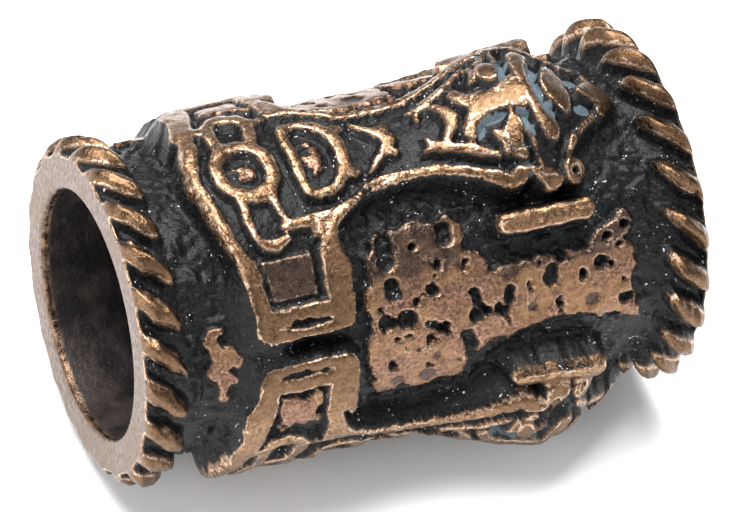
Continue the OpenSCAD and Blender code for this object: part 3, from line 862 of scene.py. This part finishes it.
def metal_colour(g, ragged, metal):
    """Worn metal: golden, browner where the tone is below 0, pinkish at 1 and dull at 2, with a pale burr
    along its border that is partly real polished metal and partly a painted highlight, and a dark line
    outside it"""
    gold = g.mix(g.span(g.fine, 0.3, 0.66), *GOLD)
    gold = g.mix(g.mul(g.span(g.mid, 0.5, 0.72), 0.6), gold, GOLD_SHADE)
    gold = g.mix(g.mul(g.span(g.coarse, 0.42, 0.62), 0.35), gold, GOLD_WARM)
    gold = g.mix(g.span(g.tone, 0.0, -1.0, 0.0, 0.75), gold, g.mix(g.grain, *BROWN))
    pink = g.mix(g.span(g.fine, 0.3, 0.7), *PINK)
    pink = g.mix(g.mul(g.span(g.coarse, 0.42, 0.6), 0.6), pink, PINK_GOLD)
    pink = g.mix(g.mul(g.span(g.mid, 0.52, 0.7), 0.45), pink, PINK_SHADE)
    dull = g.mix(g.span(g.fine, 0.3, 0.7), *DULL_BROWN)
    bronze = g.mix(g.span(g.tone, 0.2, 0.8), gold, pink)
    bronze = g.mix(g.span(g.tone, 1.2, 1.8), bronze, dull)
    # pale edge line: partly real polished burr, partly painted highlight
    burr_and_highlight = g.mul(g.span(ragged, -0.1, -0.06), g.span(ragged, -0.012, -0.035), g.span(g.fine, 0.38, 0.52),
                 g.span(g.mid, 0.38, 0.56, 0.3, 1.0))
    bronze = g.mix(g.mul(burr_and_highlight, g.span(g.tone, 0.2, 0.9, 0.7, 0.3)), bronze, BURR_AND_HIGHLIGHT)
    return g.mix(g.mul(g.span(ragged, -0.055, -0.02), metal, 0.4), bronze, BORDER)


def patina_colour(g):
    """Black patina of the recesses, with a painted blue-grey reflection in places"""
    patina = g.mix(g.span(g.fine, 0.45, 0.7), *PATINA)
    return g.mix(g.mul(g.span(g.film, 0.35, 0.65), 0.75), patina, PAINTED_BLUE_SHEEN)


def face_colour(g):
    """Brushed metal of the end faces"""
    brushed = g.noise(0.13, 3.0, 0.6, stretch=(1.0, 1.0, 0.6))
    colour = g.mix(g.span(brushed, 0.32, 0.68), *END_FACE)
    return g.mix(g.mul(g.span(g.coarse, 0.45, 0.62), 0.5), colour, END_FACE_BROWN)


def painted_glints(g, metal, outside):
    """Painted glints: tiny near-white spots in the patina, in clusters, standing in for highlights on its
    grains
    """
    grains = g.span(g.noise(0.1, 1.0, 0.5, shift=3.0), 0.66, 0.72)
    clusters = g.span(g.noise(0.9, 1.0, shift=5.0), 0.48, 0.6)
    return g.mul(grains, g.span(g.mid, 0.5, 0.58), outside, clusters, g.math("SUBTRACT", 1.0, metal))


def antique_bronze():
    """Cast bronze: worn metal on the raised shapes, black patina in the recesses, brushed end faces and a
    dark bore"""
    g = Graph("antique_bronze")
    edge, g.tone, g.film, zone = (g.attr(name) for name in ("edge", "tone", "film", "zone"))
    g.coarse = g.noise(1.1, 2.0)
    g.mid = g.noise(0.3, 3.0, 0.6)
    g.fine = g.noise(0.11, 3.0, 0.6, shift=0.7)
    g.grain = g.noise(0.045, 2.0, 0.6)
    outside = g.span(zone, 0.9, 0.5)
    face = g.mul(g.span(zone, 0.5, 0.9), g.span(zone, 1.35, 1.1))
    mouth = g.mul(g.span(zone, 1.1, 1.3), g.span(zone, 2.3, 1.6))

    # distance to the border of the worn metal, made ragged
    ragged = g.add(edge, g.span(g.fine, 0.2, 0.8, -0.03, 0.03, "LINEAR"),
                   g.span(g.mid, 0.2, 0.8, -0.02, 0.02, "LINEAR"))
    metal = g.span(ragged, 0.012, -0.006)
    colour = g.mix(metal, patina_colour(g), metal_colour(g, ragged, metal))
    colour = g.mix(face, colour, face_colour(g))
    colour = g.mix(g.span(zone, 1.1, 1.3), colour, g.mix(g.span(g.mid, 0.35, 0.65), *MOUTH))
    colour = g.mix(g.span(zone, 1.6, 2.3), colour, g.mix(g.span(g.coarse, 0.4, 0.7), *BORE))
    # painted glints: near-white spots laid over the patina's colour
    glint = painted_glints(g, metal, outside)
    colour = g.mix(glint, colour, PAINTED_GLINT)

    metallic = g.most(g.mul(metal, outside), face, mouth, glint)
    rough = g.blend(metallic, g.span(g.fine, 0.3, 0.7, 0.2, 0.45), g.span(g.mid, 0.3, 0.7, 0.19, 0.42))
    rough = g.blend(face, rough, 0.5)
    height = g.add(g.mul(g.fine, 0.5), g.mul(g.grain, 0.3), g.mul(g.mid, g.blend(metallic, 1.3, 0.8)))
    bump = g.node("ShaderNodeBump")
    g.put(bump.inputs["Strength"], 0.6)
    g.put(bump.inputs["Distance"], 0.075 * MM)
    g.put(bump.inputs["Height"], height)
    return g.surface(Base_Color=colour, Metallic=metallic, Roughness=rough, Normal=bump.outputs["Normal"],
                     IOR=g.blend(metallic, 1.24, 1.5))


def pale_floor():
    return Graph("pale_floor").surface(Base_Color=(0.95, 0.95, 0.95), Roughness=0.8)


points, values = casting()
bead = add_mesh("bead_casting", (points.reshape(-1, 3) * MM).tolist(), loop_quads(len(points)).tolist())
for name, value in zip(("edge", "tone", "film", "zone"), values):
    layer = bead.data.attributes.new(name, "FLOAT", "POINT")
    layer.data.foreach_set("value", value.reshape(-1).astype(np.float32))
bead.data.shade_smooth()
bead.data.materials.append(antique_bronze())
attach(bead, "root")
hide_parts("bead")

# Floor under the lowest point of the bead, in metres
FLOOR_HALF = 0.6
low = float(points[..., 2].min()) * MM
corners = [(sx * FLOOR_HALF, sy * FLOOR_HALF, low) for sx, sy in ((-1, -1), (1, -1), (1, 1), (-1, 1))]
floor = add_mesh("floor", corners, [(0, 1, 2, 3)])
floor.data.materials.append(pale_floor())

# Camera at the photograph's angle to the bead. It was fitted with the first hammer at FIT_TURN, and is turned
# about the bead's axis as the hammers are. Names with W or PX are in the photograph's pixels.
PHOTO_W = 732.0
FOCAL_PX = 6329.0
SHIFT_PX = (-0.7, -1.5)
SENSOR = 36.0
FIT_TURN = 22.0
DIST = 0.2003
AZIMUTH = math.radians(-23.07)
ELEVATION = math.radians(30.58)


def add_camera():
    turn = Matrix.Rotation(math.radians(HAMMER_TURN - FIT_TURN), 3, "X")
    back = Vector((math.sin(AZIMUTH) * math.cos(ELEVATION), -math.cos(AZIMUTH) * math.cos(ELEVATION),
                   math.sin(ELEVATION)))
    right = Vector((math.cos(AZIMUTH), math.sin(AZIMUTH), 0.0))
    up = back.cross(right)
    data = bpy.data.cameras.new("camera")
    data.sensor_width = SENSOR
    data.lens = SENSOR * FOCAL_PX / PHOTO_W
    data.shift_x, data.shift_y = (shift / PHOTO_W for shift in SHIFT_PX)
    data.clip_start = 0.01
    data.clip_end = 10.0
    cam = add_object("camera", data)
    place = Matrix((turn @ right, turn @ up, turn @ back)).transposed().to_4x4()
    place.translation = turn @ back * DIST
    cam.matrix_world = place
    bpy.context.scene.camera = cam


def softbox(name, where, size, power):
    """Square light that looks at the bead: place and size in metres, power in watts"""
    data = bpy.data.lights.new(name, "AREA")
    data.shape = "RECTANGLE"
    data.size = data.size_y = size
    data.energy = power
    light = add_object(name, data)
    light.location = where
    light.rotation_euler = (-Vector(where)).to_track_quat("-Z", "Y").to_euler()


def studio(colour, strength):
    """Even pale light from all round"""
    world = bpy.data.worlds.new("studio")
    world.use_nodes = True
    background = world.node_tree.nodes["Background"]
    background.inputs["Color"].default_value = (*colour, 1.0)
    background.inputs["Strength"].default_value = strength
    bpy.context.scene.world = world


add_camera()
softbox("key", (-0.04, 0.08, 0.34), 0.26, 3.6)
softbox("left", (-0.34, -0.06, 0.10), 0.20, 0.9)
softbox("front", (0.16, -0.32, 0.14), 0.08, 0.3)
studio((0.96, 0.97, 1.0), 0.5)
bpy.context.scene.view_settings.view_transform = "Standard"
